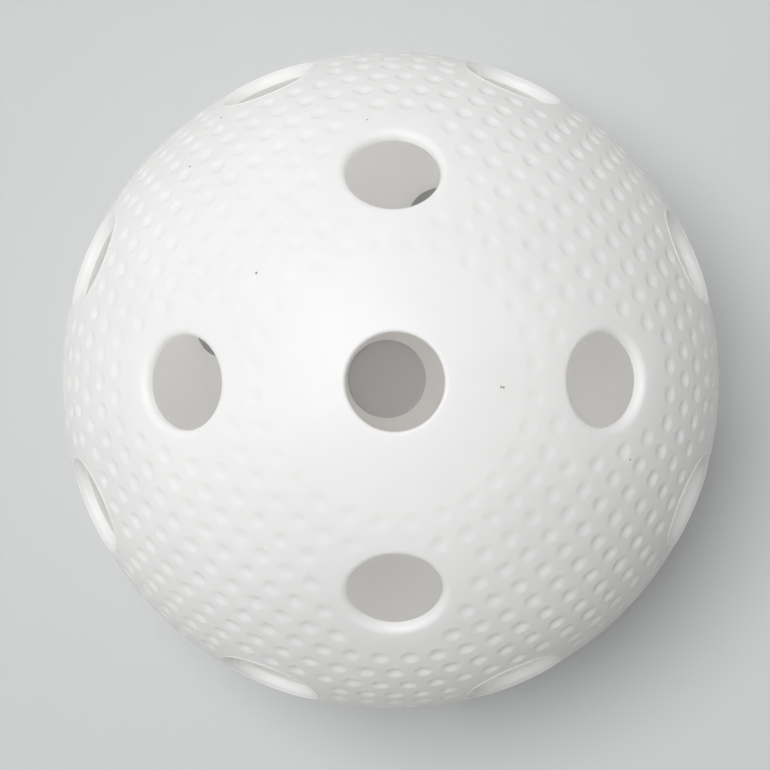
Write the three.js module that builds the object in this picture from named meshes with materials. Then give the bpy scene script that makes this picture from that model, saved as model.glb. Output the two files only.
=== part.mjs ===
// A floorball ball: two identical perforated half shells of polyethylene, welded rim to rim.
// Millimetres, +Z up along the pole axis, origin at the centre of the ball.
import * as THREE from "three";
import { ConvexHull } from "three/addons/math/ConvexHull.js";

// Driving dimensions, in millimetres and degrees
const BALL_DIAMETER = 72;
const WALL = 1.8;
const POLE_HOLE_DIAMETER = 9.6; // at the narrowest place, as below
const RING_HOLE_DIAMETER = 9.3;
const LIP_HEIGHT = 0.6; // the eased outer edge of a hole, measured along the hole
const LIP_WIDTH = 0.7; // the same edge, measured across the hole
const FLARE_WIDTH = 0.7; // how much wider a hole is at the inner wall than at its narrowest place
const CREST_WIDTH = 0.3; // the level top of the lip at a pole hole, on which the ball comes to rest
const INNER_RING_HOLES = 4;
const INNER_RING_FROM_POLE = 36; // degrees from the pole axis
const OUTER_RING_HOLES = 8;
const OUTER_RING_FROM_SEAM = 16.5; // degrees from the plane of the seam
const HALF_CLOCKING = 10.5; // azimuth of the first hole of the inner ring, in degrees
const POLE_DISC_DIAMETER = 24.2; // the smooth disc let into the shell round the pole hole
const POLE_DISC_DEPTH = 0.1;
const POLE_DISC_SLOPE = 0.2; // width of the step at its edge
const DIMPLE_ROW_PITCH = 3.05; // from one ring of dimples to the next
const DIMPLE_SPACING = 2.92; // from one dimple to the next in its ring, about
const DIMPLE_DEPTH = 0.22;
const DIMPLE_FROM_DISC = 1.8; // from the disc's edge to the first ring
const DIMPLE_FROM_SEAM = 1.4; // from the rim to the last ring, at the least
const DIMPLE_FROM_HOLE = 2.7; // from a hole's narrowest place to the nearest dimple, at the least
const WELD_HEIGHT = 1; // melted material between the two rims
const WELD_BEAD = 0.5; // how far its flash stands out of the inner wall

// Fineness of the facets
const HOLE_SIDES = 18;
const DISC_SIDES = 36;
const SEAM_SIDES = 60;
const BEAD_STEPS = 3;
const INNER_FACET = 5.5; // spacing of the points that round the inner wall, in millimetres
const SQUARE_RATIO = 1.2; // a longest side to the next, from which triangles are taken as half squares

const RADIUS = BALL_DIAMETER / 2;
const INNER_RADIUS = RADIUS - WALL;
const SEAM = WELD_HEIGHT / 2;
const POLE = new THREE.Vector3(0, 0, 1);
const FULL_TURN = 2 * Math.PI;
const radians = THREE.MathUtils.degToRad;

// The unit vector at an angle from the pole and an azimuth, both in radians.
function direction(polar, azimuth) {
  const across = Math.sin(polar);
  return new THREE.Vector3(across * Math.cos(azimuth), across * Math.sin(azimuth), Math.cos(polar));
}

// Equal steps round a circle, in radians.
function stepsRound(count, start = 0) {
  return Array.from({ length: count }, (_, step) => start + (step * FULL_TURN) / count);
}

// The leg of a right-angled triangle whose longest side and other leg are given.
function leg(hypotenuse, other) {
  return Math.sqrt(hypotenuse ** 2 - other ** 2);
}

// The radius of a hole on an axis, at its narrowest place.
function holeRadius(axis) {
  return (axis === POLE ? POLE_HOLE_DIAMETER : RING_HOLE_DIAMETER) / 2;
}

// The axes of the 13 holes of one half: the pole, the inner ring and, between its holes, the outer ring.
function holeAxes() {
  const first = radians(HALF_CLOCKING);
  const between = first + FULL_TURN / OUTER_RING_HOLES / 2;
  const inner = radians(INNER_RING_FROM_POLE);
  const outer = radians(90 - OUTER_RING_FROM_SEAM);
  return [
    POLE,
    ...stepsRound(INNER_RING_HOLES, first).map((azimuth) => direction(inner, azimuth)),
    ...stepsRound(OUTER_RING_HOLES, between).map((azimuth) => direction(outer, azimuth)),
  ];
}

// Points on a circle round an axis, at a distance from it and a height along it.
function circle(axis, distance, height, sides) {
  const across = new THREE.Vector3(0, 1, 0);
  if (axis !== POLE) across.crossVectors(POLE, axis).normalize();
  const onward = new THREE.Vector3().crossVectors(axis, across);
  return stepsRound(sides).map((turn) =>
    axis.clone().multiplyScalar(height)
      .addScaledVector(across, distance * Math.cos(turn))
      .addScaledVector(onward, distance * Math.sin(turn)),
  );
}

// A ring of points round the pole on a sphere, about a spacing apart. Their number is a multiple of 4, so
// that each quarter of the ball is alike.
function ring(radius, polar, spacing) {
  const count = 4 * Math.max(1, Math.round((FULL_TURN * radius * Math.sin(polar)) / (4 * spacing)));
  const first = radians(HALF_CLOCKING + 45);
  return stepsRound(count, first).map((azimuth) => direction(polar, azimuth).multiplyScalar(radius));
}

// Angles from one to another, a step apart. The last may fall short of the end.
function anglesBetween(first, last, step) {
  return Array.from({ length: Math.floor((last - first) / step) + 1 }, (_, row) => first + row * step);
}

// Rings of points at some angles from the pole, clear of the holes by a margin.
function rings(radius, spacing, polars, axes, margin) {
  const away = (point, axis) => point.clone().cross(axis).length() - holeRadius(axis);
  const clear = (point) => axes.every((axis) => point.dot(axis) < 0 || away(point, axis) > margin);
  return polars.flatMap((polar) => ring(radius, polar, spacing)).filter(clear);
}

// The name of the side between two points, the same from either end.
function sideName(a, b) {
  return `${Math.min(a, b)} ${Math.max(a, b)}`;
}

// A closed surface in the making: its points, and triangles of point numbers.
class Surface {
  points = [];
  triangles = [];

  // Adds points and gives their numbers.
  add(points) {
    const first = this.points.length;
    this.points.push(...points);
    return points.map((_, step) => first + step);
  }

  // A band of triangles between two loops of as many points.
  bridge(outer, inner) {
    outer.forEach((corner, step) => {
      const next = (step + 1) % outer.length;
      this.triangles.push([corner, outer[next], inner[next]]);
      this.triangles.push([corner, inner[next], inner[step]]);
    });
  }

  // The triangles of a dome through points, by the convex hull of their directions. The hull closes each
  // opening with triangles that meet the opening's own axis, and those are left out.
  domeTriangles(numbers, openings) {
    const directions = numbers.map((number) => this.points[number].clone().normalize());
    const caps = openings.map((axis) => axis.clone());
    const numberOf = new Map(directions.map((unit, step) => [unit, numbers[step]]));
    return new ConvexHull().setFromPoints([...directions, ...caps]).faces
      .map(({ edge }) => [edge, edge.next, edge.next.next].map((side) => numberOf.get(side.head().point)))
      .filter((corners) => !corners.includes(undefined));
  }

  // Joins two triangles across a longest side that both have, where their corners come near a square. Only
  // triangles between chosen points are joined.
  joinSquares(triangles, chosen) {
    const length = (a, b) => this.points[a].distanceTo(this.points[b]);
    const halves = new Map();
    const faces = [];
    for (const triangle of triangles) {
      const turned = [0, 1, 2]
        .map((step) => [...triangle.slice(step), ...triangle.slice(0, step)])
        .find(([a, b, c]) => length(a, c) > SQUARE_RATIO * Math.max(length(a, b), length(b, c)));
      if (!turned || !triangle.every((corner) => chosen.has(corner))) {
        faces.push(triangle);
        continue;
      }
      const side = sideName(turned[0], turned[2]);
      const other = halves.get(side);
      if (other) {
        faces.push([...turned, other[1]]);
        halves.delete(side);
      } else {
        halves.set(side, turned);
      }
    }
    return [...faces, ...halves.values()];
  }

  // Lays a dome's triangles on the ball with a pit at each of some points. Every side that meets a pit is
  // parted by a point on the skin, so that pits end where they meet and the skin between them stays level.
  pittedDome(triangles, pits, reach, depth) {
    const sunk = new Set(pits);
    const parted = new Map();
    const part = (a, b) => {
      const side = sideName(a, b);
      if (!parted.has(side)) {
        const [from, to] = (sunk.has(a) ? [a, b] : [b, a]).map((number) => this.points[number]);
        const share = Math.min(0.5, reach / from.distanceTo(to));
        parted.set(side, this.add([from.clone().lerp(to, share).setLength(RADIUS)])[0]);
      }
      return parted.get(side);
    };
    for (const face of this.joinSquares(triangles, sunk)) {
      const land = [];
      face.forEach((corner, step) => {
        const next = face[(step + 1) % face.length];
        const previous = face.at(step - 1);
        if (sunk.has(corner)) this.triangles.push([corner, part(corner, next), part(previous, corner)]);
        else land.push(corner);
        if (sunk.has(corner) || sunk.has(next)) land.push(part(corner, next));
      });
      for (let step = 2; step < land.length; step++) {
        this.triangles.push([land[0], land[step - 1], land[step]]);
      }
    }
    for (const number of pits) this.points[number].setLength(RADIUS - depth);
  }

  geometry() {
    const made = new THREE.BufferGeometry().setFromPoints(this.points);
    made.setIndex(this.triangles.flat());
    made.computeVertexNormals();
    return made;
  }
}

// One moulded half, from its rim at the seam up to its pole.
function halfShell() {
  const shell = new Surface();
  const axes = holeAxes();
  const openings = [...axes, POLE.clone().negate()];
  const outer = [];
  const inner = [];

  for (const axis of axes) {
    const skin = axis === POLE ? RADIUS - POLE_DISC_DEPTH : RADIUS;
    const radius = holeRadius(axis);
    const lipRadius = radius + LIP_WIDTH;
    const flareRadius = radius + FLARE_WIDTH;
    const crest = leg(skin, lipRadius);
    const rim = shell.add(circle(axis, lipRadius, crest, HOLE_SIDES));
    const waist = shell.add(circle(axis, radius, crest - LIP_HEIGHT, HOLE_SIDES));
    const back = shell.add(circle(axis, flareRadius, leg(INNER_RADIUS, flareRadius), HOLE_SIDES));
    let edge = rim;
    if (axis === POLE) {
      edge = shell.add(circle(axis, lipRadius - CREST_WIDTH, crest, HOLE_SIDES));
      shell.bridge(rim, edge);
    }
    shell.bridge(edge, waist);
    shell.bridge(waist, back);
    outer.push(...rim);
    inner.push(...back);
  }

  const discRadius = POLE_DISC_DIAMETER / 2;
  const discSkin = RADIUS - POLE_DISC_DEPTH;
  const discEdge = circle(POLE, discRadius, leg(discSkin, discRadius), DISC_SIDES);
  const stepRadius = discRadius + POLE_DISC_SLOPE;
  const stepEdge = circle(POLE, stepRadius, leg(RADIUS, stepRadius), DISC_SIDES);
  const middleRadius = (holeRadius(POLE) + LIP_WIDTH + discRadius) / 2;
  const discMiddle = circle(POLE, middleRadius, leg(discSkin, middleRadius), HOLE_SIDES);
  outer.push(...shell.add([...discEdge, ...stepEdge, ...discMiddle]));

  const rimOutside = shell.add(circle(POLE, leg(RADIUS, SEAM), SEAM, SEAM_SIDES));
  const rimInside = shell.add(circle(POLE, leg(INNER_RADIUS, SEAM), SEAM, SEAM_SIDES));
  shell.bridge(rimInside, rimOutside);

  const discAngle = Math.asin(discRadius / RADIUS);
  const seamAngle = Math.asin(SEAM / RADIUS);
  const firstRow = discAngle + DIMPLE_FROM_DISC / RADIUS;
  const lastRow = Math.PI / 2 - seamAngle - DIMPLE_FROM_SEAM / RADIUS;
  const rows = anglesBetween(firstRow, lastRow, DIMPLE_ROW_PITCH / RADIUS);
  const pits = shell.add(rings(RADIUS, DIMPLE_SPACING, rows, axes, DIMPLE_FROM_HOLE));
  outer.push(...rimOutside, ...pits);
  shell.pittedDome(shell.domeTriangles(outer, openings), pits, DIMPLE_ROW_PITCH / 2, DIMPLE_DEPTH);

  const facetAngle = INNER_FACET / INNER_RADIUS;
  const bands = anglesBetween(discAngle, Math.PI / 2 - facetAngle / 2, facetAngle);
  const fill = shell.add(rings(INNER_RADIUS, INNER_FACET, bands, axes, FLARE_WIDTH + INNER_FACET / 3));
  inner.push(...rimInside, ...fill);
  for (const corners of shell.domeTriangles(inner, openings)) shell.triangles.push(corners.reverse());
  return shell.geometry();
}

// The weld: level faces against the two rims, the ball's curve outside and a rounded bead inside.
function weldSeam() {
  const outside = [-SEAM, SEAM].map((z) => new THREE.Vector2(leg(RADIUS, z), z));
  const inside = Array.from({ length: BEAD_STEPS + 1 }, (_, step) => {
    const turn = (step * Math.PI) / BEAD_STEPS;
    const wall = leg(INNER_RADIUS, SEAM);
    return new THREE.Vector2(wall - WELD_BEAD * Math.sin(turn), SEAM * Math.cos(turn));
  });
  const profile = [...outside, ...inside, outside[0]];
  return new THREE.LatheGeometry(profile, SEAM_SIDES).rotateX(Math.PI / 2);
}

// A named piece in white polyethylene, with a soft sheen.
function piece(name, geometry) {
  const material = new THREE.MeshStandardMaterial({ color: 0xeeeeec, roughness: 0.5, metalness: 0 });
  const mesh = new THREE.Mesh(geometry, material);
  mesh.name = name;
  return mesh;
}

const ball = new THREE.Group();
const upper = piece("upper_half_shell", halfShell());
const lower = piece("lower_half_shell", halfShell());
lower.rotation.x = Math.PI; // the same moulding turned over, which brings its holes between the upper ones
ball.add(upper, lower, piece("weld_seam", weldSeam()));

export default ball;
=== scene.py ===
import math

import bpy
from mathutils import Matrix, Vector


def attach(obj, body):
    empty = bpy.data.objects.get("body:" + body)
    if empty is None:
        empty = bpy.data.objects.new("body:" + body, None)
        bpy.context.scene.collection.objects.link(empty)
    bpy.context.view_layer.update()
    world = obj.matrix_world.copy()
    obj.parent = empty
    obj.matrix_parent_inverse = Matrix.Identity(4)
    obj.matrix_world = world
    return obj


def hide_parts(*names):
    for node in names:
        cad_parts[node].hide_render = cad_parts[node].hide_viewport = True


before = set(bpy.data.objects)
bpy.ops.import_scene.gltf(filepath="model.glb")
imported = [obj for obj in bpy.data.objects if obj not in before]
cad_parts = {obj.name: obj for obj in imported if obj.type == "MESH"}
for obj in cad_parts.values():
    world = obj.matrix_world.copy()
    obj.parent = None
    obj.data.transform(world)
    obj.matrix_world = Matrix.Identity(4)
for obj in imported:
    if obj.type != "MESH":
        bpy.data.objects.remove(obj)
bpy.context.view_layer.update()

# The shell. Lengths are in metres, and "polar" is an angle from the pole axis.
BALL_RADIUS = 0.036
INNER_RADIUS = 0.0342
SEAM_HEIGHT = 0.0005  # from the middle of the weld to a rim
HALF_CLOCKING = math.radians(10.5)  # azimuth of the inner ring's first hole
SKIN_SUBDIVISIONS = 8
INSIDE_SUBDIVISIONS = 6
SHELL_CREASE = math.radians(35)  # edges sharper than this stay crisp
SAME_PLACE = 0.000002  # points this close are merged

# The holes, at their narrowest place
POLE_HOLE_RADIUS = 0.00485
RING_HOLE_RADIUS = 0.00477
INNER_RING_POLAR = math.radians(36.3)
OUTER_RING_POLAR = math.radians(73.5)
POLE_LIP_ROUNDING = 0.0003
RING_LIP_ROUNDING = 0.0007
RING_LIP_CREASE = math.radians(7)  # the slight angle at which a ring hole's lip leaves the skin
LIP_STEPS = 10
HOLE_STRAIGHT = 0.0004  # straight wall between the lip and the flare
FLARE_SLOPE = 0.84
FLARE_REACH = 0.0016
POLE_HOLE_SIDES = 144
RING_HOLE_SIDES = 72
TOOL_SPARE = 0.002  # how far a cutting tool carries on beyond the wall
LIP_RUN_OUT = 0.0012  # how far it carries on in line with a ring hole's lip

# The fine raised rims round the outer ring's holes
RIM_THICKNESS = 0.00015
RIM_SIDES = 96
RIM_SECTION_SIDES = 12

# The smooth disc let into the skin round the pole hole
DISC_RADIUS = 0.0121
DISC_DEPTH = 0.000025
DISC_STEP = 0.0006  # width of the slope at its edge
DISC_RINGS = 12
STEP_RUN_OUT = 6  # the cutting tool carries that slope on to so many times its width

# The dimples: rings round the pole, each with a whole number of dimples in every quarter
DIMPLE_ROWS = 14
DIMPLE_ROW_PITCH = 0.00305
DIMPLE_SPACING = 0.00292
DIMPLE_FROM_DISC = 0.0018
DIMPLE_FIRST_ROW = math.asin(DISC_RADIUS / BALL_RADIUS) + DIMPLE_FROM_DISC / BALL_RADIUS
DIMPLE_FROM_HOLE_AXIS = 0.0072  # places nearer to a hole's axis stay smooth
DIMPLE_START = HALF_CLOCKING + math.radians(45)  # azimuth of each ring's first dimple
DIMPLE_RADIUS = 0.00096
DIMPLE_RIM = 0.00017  # points this near a rim are drawn onto it
DIMPLE_SHALLOWEST = 0.00012
DIMPLE_DEEPEST = 0.00033
DIMPLE_DEEPEST_ROW = 8

# The weld: a bead of flash inside, and outside a low crown, as height and distance out of the ball's curve
WELD_BEAD = 0.0005
BEAD_STEPS = 12
WELD_CROWN = ((SEAM_HEIGHT, -0.00003), (0.0004, 0), (0.0002, 0.00004), (0, 0.00005))
WELD_SIDES = 360
WELD_CREASE = math.radians(32)

# The photograph's up direction, as an azimuth
VIEW_UP = HALF_CLOCKING + math.radians(89.69)

# The plastic, and small dark marks on the upper half: polar and clock angle in degrees, and size
LET_THROUGH = 0.5  # share of the light that passes through a surface of the wall
MARK_COLOUR = (0.3, 0.28, 0.25, 1)
MARKS = ((16.7, 92.8, 0.00015), (17.1, 93, 0.00015), (28.6, 308.2, 0.00016), (57.4, 316.6, 0.00016),
         (65.8, 327, 0.00016), (47.5, 354.3, 0.00012), (44.1, 108.3, 0.00012))

# The floor, just under the rim on which the ball rests
FLOOR_HEIGHT = -0.03561
FLOOR_SIZE = 6
FLOOR_TO_THE_EYE = (0.5, 0.495, 0.49, 1)
FLOOR_THROWS_BACK = 0.92  # share of the light that lights the ball again
CARD_THROWS_BACK = 0.2  # the same beyond the lower right
CARD_FROM = -0.04  # where the floor begins to throw back less, from its middle
CARD_FULL = -0.09  # where it throws back least

# The camera, with its shift in pixels of the picture
CAMERA_DISTANCE = 0.2833
CAMERA_LENS = 119.95
SENSOR_WIDTH = 36
PICTURE_SIDE = 770
SHIFT_RIGHT = -5.4
SHIFT_UP = -4.8

# The light
LAMP_DISTANCE = 2.5
LAMP_SIZE = 1.2
LAMP_POWER = 63
LIGHT_TINT = (0.95, 0.98, 1)
ROOM_LIGHT = 0.18
FILL_LIGHT = 0.42
ROOM_TO_THE_EYE = 0.7
LIGHT_BOUNCES = 24


def leg(hypotenuse, other):
    """The leg of a right-angled triangle whose longest side and other leg are given."""
    return math.sqrt(hypotenuse ** 2 - other ** 2)


def direction(polar, azimuth):
    """The unit vector at an angle from the pole and an azimuth."""
    across = math.sin(polar)
    return Vector((across * math.cos(azimuth), across * math.sin(azimuth), math.cos(polar)))


def select_only(piece):
    """Makes a piece the only selected object, and the active one."""
    bpy.ops.object.select_all(action="DESELECT")
    piece.select_set(True)
    bpy.context.view_layer.objects.active = piece


def combine(piece, tool, operation):
    """Takes a tool's shape out of a piece or adds it, and deletes the tool."""
    select_only(piece)
    modifier = piece.modifiers.new("combine", "BOOLEAN")
    modifier.object = tool
    modifier.operation = operation
    modifier.solver = "MANIFOLD"
    bpy.ops.object.modifier_apply(modifier=modifier.name)
    select_only(tool)
    bpy.ops.object.delete()
    select_only(piece)


# The holes of one half, as angle from the pole and azimuth
INNER_RING = [(INNER_RING_POLAR, HALF_CLOCKING + math.radians(90 * step)) for step in range(4)]
OUTER_RING = [(OUTER_RING_POLAR, HALF_CLOCKING + math.radians(22.5 + 45 * step)) for step in range(8)]
HOLE_AXES = [direction(*place) for place in [(0, 0), *INNER_RING, *OUTER_RING]]


def dimple_middles():
    """The middle and depth of each dimple by ring and step, and each ring's number of places."""
    middles, counts = {}, []
    for row in range(DIMPLE_ROWS):
        polar = DIMPLE_FIRST_ROW + row * DIMPLE_ROW_PITCH / BALL_RADIUS
        way_round = 2 * math.pi * BALL_RADIUS * math.sin(polar)
        counts.append(4 * round(way_round / (4 * DIMPLE_SPACING)))
        deepening = min(1, row / DIMPLE_DEEPEST_ROW)
        depth = DIMPLE_SHALLOWEST + (DIMPLE_DEEPEST - DIMPLE_SHALLOWEST) * deepening
        for step in range(counts[row]):
            middle = BALL_RADIUS * direction(polar, DIMPLE_START + 2 * math.pi * step / counts[row])
            if all(axis.cross(middle).length > DIMPLE_FROM_HOLE_AXIS for axis in HOLE_AXES):
                middles[row, step] = (middle, depth)
    return middles, counts


def nearest_dimple(point, middles, counts):
    """The middle and depth of the dimple that a point of the skin lies nearest to, if there is one."""
    polar = math.acos(max(-1, min(1, point.z / BALL_RADIUS)))
    row = round((polar - DIMPLE_FIRST_ROW) * BALL_RADIUS / DIMPLE_ROW_PITCH)
    if not 0 <= row < DIMPLE_ROWS:
        return None
    turn = math.atan2(point.y, point.x) - DIMPLE_START
    return middles.get((row, round(turn * counts[row] / (2 * math.pi)) % counts[row]))


def dimpled_dome():
    """A solid half ball with its dimples, level at the seam."""
    bpy.ops.object.select_all(action="DESELECT")
    bpy.ops.mesh.primitive_ico_sphere_add(subdivisions=SKIN_SUBDIVISIONS, radius=BALL_RADIUS)
    dome = bpy.context.object
    bpy.ops.object.mode_set(mode="EDIT")
    bpy.ops.mesh.select_all(action="SELECT")
    bpy.ops.mesh.bisect(
        plane_co=(0, 0, SEAM_HEIGHT), plane_no=(0, 0, 1), clear_inner=True, use_fill=True, threshold=1e-7
    )
    bpy.ops.object.mode_set(mode="OBJECT")
    middles, counts = dimple_middles()
    for vertex in dome.data.vertices:
        nearest = nearest_dimple(vertex.co, middles, counts)
        if nearest is None:
            continue
        middle, depth = nearest
        across = vertex.co - middle
        if abs(across.length - DIMPLE_RADIUS) < DIMPLE_RIM:
            vertex.co = BALL_RADIUS * (middle + DIMPLE_RADIUS * across.normalized()).normalized()
        elif across.length < DIMPLE_RADIUS:
            sunk = depth * (1 - (across.length / DIMPLE_RADIUS) ** 2)
            vertex.co *= 1 - sunk / BALL_RADIUS
    return dome


def draw_out(profile):
    """Extrudes what is selected in edit mode from ring to ring of a profile of radius and height."""
    for (radius, height), (next_radius, next_height) in zip(profile, profile[1:]):
        bpy.ops.mesh.extrude_region_move(TRANSFORM_OT_translate={"value": (0, 0, next_height - height)})
        grow = next_radius / radius
        bpy.ops.transform.resize(value=(grow, grow, 1), center_override=(0, 0, next_height))


def turned_tool(profile, sides):
    """A solid turned about the pole axis: a cylinder whose top is drawn out along a profile."""
    (radius, bottom), (_, top) = profile[:2]
    bpy.ops.object.select_all(action="DESELECT")
    bpy.ops.mesh.primitive_cylinder_add(
        vertices=sides, radius=radius, depth=top - bottom, location=(0, 0, (bottom + top) / 2)
    )
    tool = bpy.context.object
    bpy.ops.object.transform_apply()
    bpy.ops.object.mode_set(mode="EDIT")
    bpy.ops.mesh.select_mode(type="FACE")
    bpy.ops.mesh.select_all(action="DESELECT")
    bpy.ops.object.mode_set(mode="OBJECT")
    for face in tool.data.polygons:
        face.select = face.normal.z > 0.9
    bpy.ops.object.mode_set(mode="EDIT")
    draw_out(profile[1:])
    bpy.ops.object.mode_set(mode="OBJECT")
    return tool


def lip_profile(hole_radius, rounding, skin_radius, short_of_skin):
    """The rounded outer edge of a hole, from its narrowest place out towards the skin."""
    radius = hole_radius + rounding
    height = leg(skin_radius - rounding, radius)
    end = math.atan2(height, radius) + short_of_skin
    turns = [math.pi + (end - math.pi) * step / LIP_STEPS for step in range(LIP_STEPS + 1)]
    return [(radius + rounding * math.cos(turn), height + rounding * math.sin(turn)) for turn in turns]


def flare_profile(hole_radius, height):
    """The conical inner edge of a hole, from within the ball up to its straight wall."""
    widest = hole_radius + FLARE_REACH
    bottom = height - FLARE_REACH * FLARE_SLOPE
    return [(widest, bottom - TOOL_SPARE), (widest, bottom), (hole_radius, height)]


def ring_hole_tool():
    """The shape of a ring hole with its rounded lip and its flare."""
    lip = lip_profile(RING_HOLE_RADIUS, RING_LIP_ROUNDING, BALL_RADIUS, RING_LIP_CREASE)
    radius, height = lip[-1]
    onward = math.atan2(height, radius) + RING_LIP_CREASE - math.pi / 2
    outside = (radius + LIP_RUN_OUT * math.cos(onward), height + LIP_RUN_OUT * math.sin(onward))
    flare = flare_profile(RING_HOLE_RADIUS, lip[0][1] - HOLE_STRAIGHT)
    top = (outside[0], BALL_RADIUS + TOOL_SPARE)
    return turned_tool([*flare, *lip, outside, top], RING_HOLE_SIDES)


def pole_hole_tool():
    """The shape of the pole hole and of the smooth disc round it."""
    skin = BALL_RADIUS - DISC_DEPTH
    lip = lip_profile(POLE_HOLE_RADIUS, POLE_LIP_ROUNDING, skin, 0)
    lip_radius = lip[-1][0]
    rings = [lip_radius + (DISC_RADIUS - lip_radius) * step / DISC_RINGS for step in range(1, DISC_RINGS + 1)]
    disc = [(radius, leg(skin, radius)) for radius in rings]
    edge_height = disc[-1][1]
    rise = leg(BALL_RADIUS, DISC_RADIUS + DISC_STEP) - edge_height
    outside = (DISC_RADIUS + STEP_RUN_OUT * DISC_STEP, edge_height + STEP_RUN_OUT * rise)
    flare = flare_profile(POLE_HOLE_RADIUS, lip[0][1] - HOLE_STRAIGHT)
    top = (outside[0], BALL_RADIUS + TOOL_SPARE)
    return turned_tool([*flare, *lip, *disc, outside, top], POLE_HOLE_SIDES)


def join(pieces):
    """Makes one object of several that stand in their places. The last one made takes in the others."""
    for piece in pieces:
        piece.select_set(True)
    bpy.ops.object.transform_apply()
    bpy.ops.object.join()
    return bpy.context.object


def hole_tools():
    """The shapes of all 13 holes of a half, in one object."""
    places = [*INNER_RING, *OUTER_RING]
    tool = ring_hole_tool()
    tools = [tool]
    for _ in places[1:]:
        select_only(tool)
        bpy.ops.object.duplicate()
        tools.append(bpy.context.object)
    for copy, (polar, azimuth) in zip(tools, places):
        copy.rotation_euler = (0, polar, azimuth)
    tools.append(pole_hole_tool())
    return join(tools)


def fine_rims():
    """The fine raised rims that the mould's side pins leave round the outer ring's holes, in one object."""
    radius = RING_HOLE_RADIUS + RING_LIP_ROUNDING
    rims = []
    for polar, azimuth in OUTER_RING:
        bpy.ops.object.select_all(action="DESELECT")
        bpy.ops.mesh.primitive_torus_add(
            major_radius=radius, minor_radius=RIM_THICKNESS / 2,
            major_segments=RIM_SIDES, minor_segments=RIM_SECTION_SIDES,
            location=leg(BALL_RADIUS, radius) * direction(polar, azimuth), rotation=(0, polar, azimuth)
        )
        rims.append(bpy.context.object)
    return join(rims)


def half_shell():
    """One moulded half: a dimpled dome, hollowed and pierced, with fine rims round its outer holes."""
    shell = dimpled_dome()
    bpy.ops.object.select_all(action="DESELECT")
    bpy.ops.mesh.primitive_ico_sphere_add(subdivisions=INSIDE_SUBDIVISIONS, radius=INNER_RADIUS)
    combine(shell, bpy.context.object, "DIFFERENCE")
    combine(shell, hole_tools(), "DIFFERENCE")
    combine(shell, fine_rims(), "UNION")
    bpy.ops.object.mode_set(mode="EDIT")
    bpy.ops.mesh.select_all(action="SELECT")
    bpy.ops.mesh.remove_doubles(threshold=SAME_PLACE)
    bpy.ops.object.mode_set(mode="OBJECT")
    bpy.ops.object.shade_smooth_by_angle(angle=SHELL_CREASE)
    return shell


def weld_ring():
    """The weld between the two rims: a low crown outside, a bead of flash inside."""
    wall = leg(INNER_RADIUS, SEAM_HEIGHT)
    skin = leg(BALL_RADIUS, SEAM_HEIGHT)
    turns = [math.pi * step / BEAD_STEPS for step in range(BEAD_STEPS + 1)]
    bead = [(wall - WELD_BEAD * math.sin(turn), -SEAM_HEIGHT * math.cos(turn)) for turn in turns]
    crown = [(skin + out, height) for height, out in WELD_CROWN]
    under_crown = [(radius, -height) for radius, height in reversed(crown[:-1])]
    profile = [*bead, *crown, *under_crown]
    bpy.ops.object.select_all(action="DESELECT")
    first_radius, first_height = profile[0]
    bpy.ops.mesh.primitive_circle_add(vertices=WELD_SIDES, radius=first_radius, location=(0, 0, first_height))
    weld = bpy.context.object
    bpy.ops.object.transform_apply()
    bpy.ops.object.mode_set(mode="EDIT")
    bpy.ops.mesh.select_mode(type="EDGE")
    bpy.ops.mesh.select_all(action="SELECT")
    draw_out(profile)
    bpy.ops.mesh.select_all(action="DESELECT")
    bpy.ops.mesh.select_non_manifold(
        extend=False, use_wire=False, use_multi_face=False, use_non_contiguous=False
    )
    bpy.ops.mesh.bridge_edge_loops()
    bpy.ops.mesh.select_all(action="SELECT")
    bpy.ops.mesh.normals_make_consistent(inside=False)
    bpy.ops.object.mode_set(mode="OBJECT")
    bpy.ops.object.shade_smooth_by_angle(angle=WELD_CREASE)
    return weld


upper = half_shell()
upper.name = "upper_half"
select_only(upper)
bpy.ops.object.duplicate()
lower = bpy.context.object
lower.name = "lower_half"
lower.rotation_euler = (math.pi, 0, 0)
bpy.ops.object.transform_apply()
weld = weld_ring()
weld.name = "weld"


def add_node(tree, kind, inputs, **settings):
    """Adds a node to a tree and sets its inputs, each a value or another node's output."""
    node = tree.nodes.new(kind)
    for name, value in settings.items():
        setattr(node, name, value)
    for name, value in inputs.items():
        if isinstance(value, bpy.types.NodeSocket):
            tree.links.new(value, node.inputs[name])
        else:
            node.inputs[name].default_value = value
    return node


def seen_share(tree):
    """1 where the eye sees a surface, straight or in a reflection or through something clear, else 0."""
    rays = add_node(tree, "ShaderNodeLightPath", {}).outputs
    some = add_node(tree, "ShaderNodeMath", {
        0: rays["Is Camera Ray"], 1: rays["Is Glossy Ray"]}, operation="MAXIMUM").outputs["Value"]
    any_sight = add_node(tree, "ShaderNodeMath", {
        0: some, 1: rays["Is Transmission Ray"]}, operation="MAXIMUM").outputs["Value"]
    return add_node(tree, "ShaderNodeMath", {
        0: any_sight, 1: rays["Is Diffuse Ray"]}, operation="GREATER_THAN").outputs["Value"]


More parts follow.
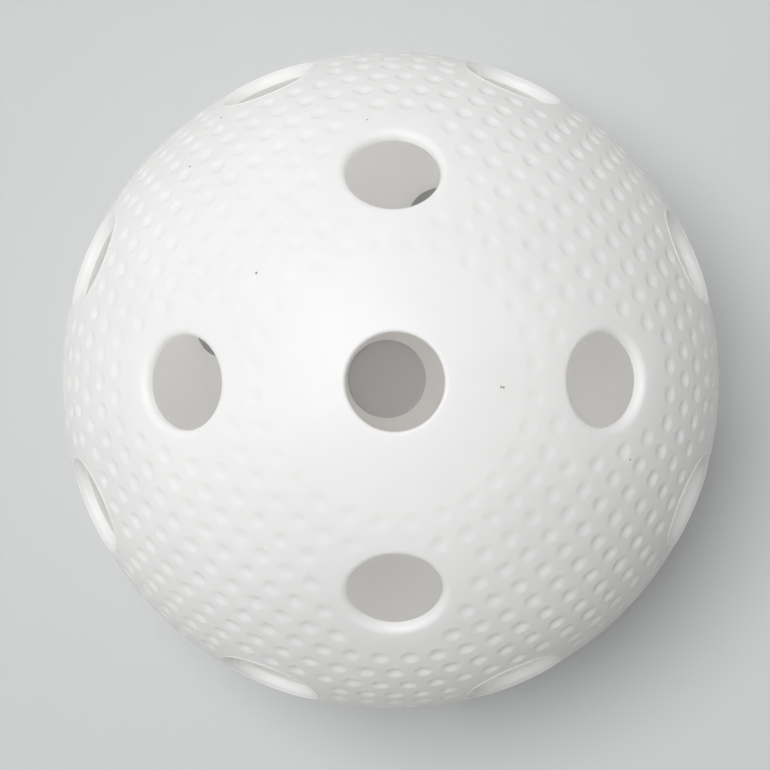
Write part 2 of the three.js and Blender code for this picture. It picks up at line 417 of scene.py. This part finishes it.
def moulded_finish():
    """What moulding and use leave on plastic: faint clouds, small marks, dull places and a fine grain."""
    tree = bpy.data.node_groups.new("moulded_finish", "ShaderNodeTree")
    sockets = (("Place", "INPUT", "NodeSocketVector"), ("Colour", "INPUT", "NodeSocketColor"),
               ("Roughness", "INPUT", "NodeSocketFloat"), ("Colour", "OUTPUT", "NodeSocketColor"),
               ("Roughness", "OUTPUT", "NodeSocketFloat"), ("Height", "OUTPUT", "NodeSocketFloat"))
    for name, way, kind in sockets:
        tree.interface.new_socket(name, in_out=way, socket_type=kind)
    given = tree.nodes.new("NodeGroupInput").outputs
    result = tree.nodes.new("NodeGroupOutput").inputs

    clouds = add_node(tree, "ShaderNodeTexNoise", {"Vector": given["Place"], "Scale": 90, "Detail": 3})
    shade = add_node(tree, "ShaderNodeMapRange", {
        "Value": clouds.outputs["Fac"], "From Min": 0.3, "From Max": 0.7, "To Min": 0.97, "To Max": 1})
    clouded = add_node(tree, "ShaderNodeVectorMath", {
        0: given["Colour"], "Scale": shade.outputs["Result"]}, operation="SCALE")
    marked = 0
    for polar, clock, size in MARKS:
        middle = BALL_RADIUS * direction(math.radians(polar), VIEW_UP - math.radians(clock))
        away = add_node(tree, "ShaderNodeVectorMath", {0: given["Place"], 1: middle}, operation="DISTANCE")
        mark = add_node(tree, "ShaderNodeMapRange", {
            "Value": away.outputs["Value"], "From Min": size, "From Max": size / 2, "To Min": 0, "To Max": 1})
        marked = add_node(tree, "ShaderNodeMath", {
            0: mark.outputs["Result"], 1: marked}, operation="MAXIMUM").outputs["Value"]
    with_marks = add_node(tree, "ShaderNodeMixRGB", {
        "Fac": marked, "Color1": clouded.outputs["Vector"], "Color2": MARK_COLOUR})
    tree.links.new(with_marks.outputs["Color"], result["Colour"])

    patches = add_node(tree, "ShaderNodeTexNoise", {"Vector": given["Place"], "Scale": 300, "Detail": 4})
    dull = add_node(tree, "ShaderNodeMapRange", {
        "Value": patches.outputs["Fac"], "From Min": 0.3, "From Max": 0.7, "To Min": -0.07, "To Max": 0.07})
    rough = add_node(tree, "ShaderNodeMath", {
        0: given["Roughness"], 1: dull.outputs["Result"]}, operation="ADD")
    tree.links.new(rough.outputs["Value"], result["Roughness"])

    grain = add_node(tree, "ShaderNodeTexNoise", {"Vector": given["Place"], "Scale": 1800, "Detail": 2})
    tree.links.new(grain.outputs["Fac"], result["Height"])
    return tree


def white_plastic(name, finish, colour, roughness, grain_depth):
    """White polyethylene with a moulded finish, which lets some light through its wall."""
    material = bpy.data.materials.new(name)
    material.use_nodes = True
    tree = material.node_tree
    shader = tree.nodes["Principled BSDF"]
    place = add_node(tree, "ShaderNodeTexCoord", {})
    surface = add_node(tree, "ShaderNodeGroup", {}, node_tree=finish)
    tree.links.new(place.outputs["Object"], surface.inputs["Place"])
    surface.inputs["Colour"].default_value = (*colour, 1)
    surface.inputs["Roughness"].default_value = roughness
    bump = add_node(tree, "ShaderNodeBump", {"Height": surface.outputs["Height"], "Distance": grain_depth})
    tree.links.new(surface.outputs["Colour"], shader.inputs["Base Color"])
    tree.links.new(surface.outputs["Roughness"], shader.inputs["Roughness"])
    tree.links.new(bump.outputs["Normal"], shader.inputs["Normal"])
    shader.inputs["IOR"].default_value = 1.5
    let_through = add_node(tree, "ShaderNodeBsdfTranslucent", {
        "Color": surface.outputs["Colour"], "Normal": bump.outputs["Normal"]})
    wall = add_node(tree, "ShaderNodeMixShader", {
        "Fac": LET_THROUGH, 1: shader.outputs["BSDF"], 2: let_through.outputs["BSDF"]})
    tree.links.new(wall.outputs["Shader"], tree.nodes["Material Output"].inputs["Surface"])
    return material


finish = moulded_finish()
shell_plastic = white_plastic(
    "white_polyethylene", finish, colour=(0.96, 0.948, 0.936), roughness=0.45, grain_depth=0.00001
)
weld_plastic = white_plastic(
    "melted_polyethylene", finish, colour=(0.94, 0.93, 0.918), roughness=0.35, grain_depth=0.00002
)

for piece, node, slot, plastic in ((upper, "upper_half_shell", "shell", shell_plastic),
                                   (lower, "lower_half_shell", "shell", shell_plastic),
                                   (weld, "weld_seam", "weld", weld_plastic)):
    piece.data.name = piece.name
    piece.data.materials.clear()
    piece.data.materials.append(plastic)
    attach(piece, "root")
    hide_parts(node)

# The photograph's own directions: right and up across the view, seen from above
view_up = direction(math.pi / 2, VIEW_UP)
view_right = direction(math.pi / 2, VIEW_UP - math.pi / 2)
pole = Vector((0, 0, 1))

# From the ball's middle to the camera and the lights, and from the floor's dark side to its pale one
towards_camera = (pole - 0.0127 * view_right + 0.0045 * view_up).normalized()
towards_lamp = (-0.2 * view_right + 0.137 * view_up + 0.97 * pole).normalized()
towards_fill = (-0.83 * view_right + 0.56 * view_up).normalized()
away_from_card = (-0.64 * view_right + 0.77 * view_up).normalized()

# The pale floor, which throws little light back from beyond the lower right, as if a dark card lay there
bpy.ops.object.select_all(action="DESELECT")
bpy.ops.mesh.primitive_plane_add(size=FLOOR_SIZE, location=(0, 0, FLOOR_HEIGHT))
floor = bpy.context.object
floor.name = "floor"
floor_finish = bpy.data.materials.new("pale_floor")
floor_finish.use_nodes = True
floor_tree = floor_finish.node_tree
floor_shader = floor_tree.nodes["Principled BSDF"]
spot = add_node(floor_tree, "ShaderNodeTexCoord", {})
from_middle = add_node(floor_tree, "ShaderNodeVectorMath", {
    0: spot.outputs["Object"], 1: away_from_card}, operation="DOT_PRODUCT")
thrown_back = add_node(floor_tree, "ShaderNodeMapRange", {
    "Value": from_middle.outputs["Value"], "From Min": CARD_FULL, "From Max": CARD_FROM,
    "To Min": CARD_THROWS_BACK, "To Max": FLOOR_THROWS_BACK}, interpolation_type="SMOOTHSTEP")
pale = add_node(floor_tree, "ShaderNodeMixRGB", {
    "Fac": seen_share(floor_tree), "Color1": thrown_back.outputs["Result"], "Color2": FLOOR_TO_THE_EYE})
floor_tree.links.new(pale.outputs["Color"], floor_shader.inputs["Base Color"])
floor_shader.inputs["Roughness"].default_value = 0.8
floor.data.materials.append(floor_finish)

camera = bpy.data.objects.new("camera", bpy.data.cameras.new("camera"))
bpy.context.scene.collection.objects.link(camera)
bpy.context.scene.camera = camera
right = view_up.cross(towards_camera).normalized()
up = towards_camera.cross(right)
aim = Matrix((right, up, towards_camera)).transposed().to_4x4()
camera.matrix_world = Matrix.Translation(CAMERA_DISTANCE * towards_camera) @ aim
camera.data.lens = CAMERA_LENS
camera.data.sensor_width = SENSOR_WIDTH
camera.data.shift_x = SHIFT_RIGHT / PICTURE_SIDE
camera.data.shift_y = SHIFT_UP / PICTURE_SIDE
camera.data.clip_start = 0.01
camera.data.clip_end = 20

# Soft light from a large round lamp beside the camera, to the upper left
bpy.ops.object.select_all(action="DESELECT")
bpy.ops.object.light_add(type="AREA", location=LAMP_DISTANCE * towards_lamp)
lamp = bpy.context.object
lamp.rotation_euler = towards_lamp.to_track_quat("Z", "Y").to_euler()
lamp.data.shape = "DISK"
lamp.data.size = LAMP_SIZE
lamp.data.energy = LAMP_POWER
lamp.data.color = LIGHT_TINT

# A plain room, pale to the eye, with soft light from all round and more of it from the upper left
world = bpy.data.worlds.new("room")
bpy.context.scene.world = world
world.use_nodes = True
room = world.node_tree
room_light = room.nodes["Background"]
room_light.inputs["Color"].default_value = (*LIGHT_TINT, 1)
way = add_node(room, "ShaderNodeTexCoord", {})
facing = add_node(room, "ShaderNodeVectorMath", {
    0: way.outputs["Generated"], 1: towards_fill}, operation="DOT_PRODUCT")
fill = add_node(room, "ShaderNodeMapRange", {
    "Value": facing.outputs["Value"], "From Min": -0.3, "From Max": 0.6,
    "To Min": ROOM_LIGHT, "To Max": FILL_LIGHT}, interpolation_type="SMOOTHSTEP")
shown = add_node(room, "ShaderNodeMapRange", {
    "Value": seen_share(room), "To Min": fill.outputs["Result"], "To Max": ROOM_TO_THE_EYE})
room.links.new(shown.outputs["Result"], room_light.inputs["Strength"])

bpy.context.scene.view_settings.view_transform = "Standard"
bpy.context.scene.cycles.max_bounces = LIGHT_BOUNCES
bpy.context.scene.cycles.diffuse_bounces = LIGHT_BOUNCES
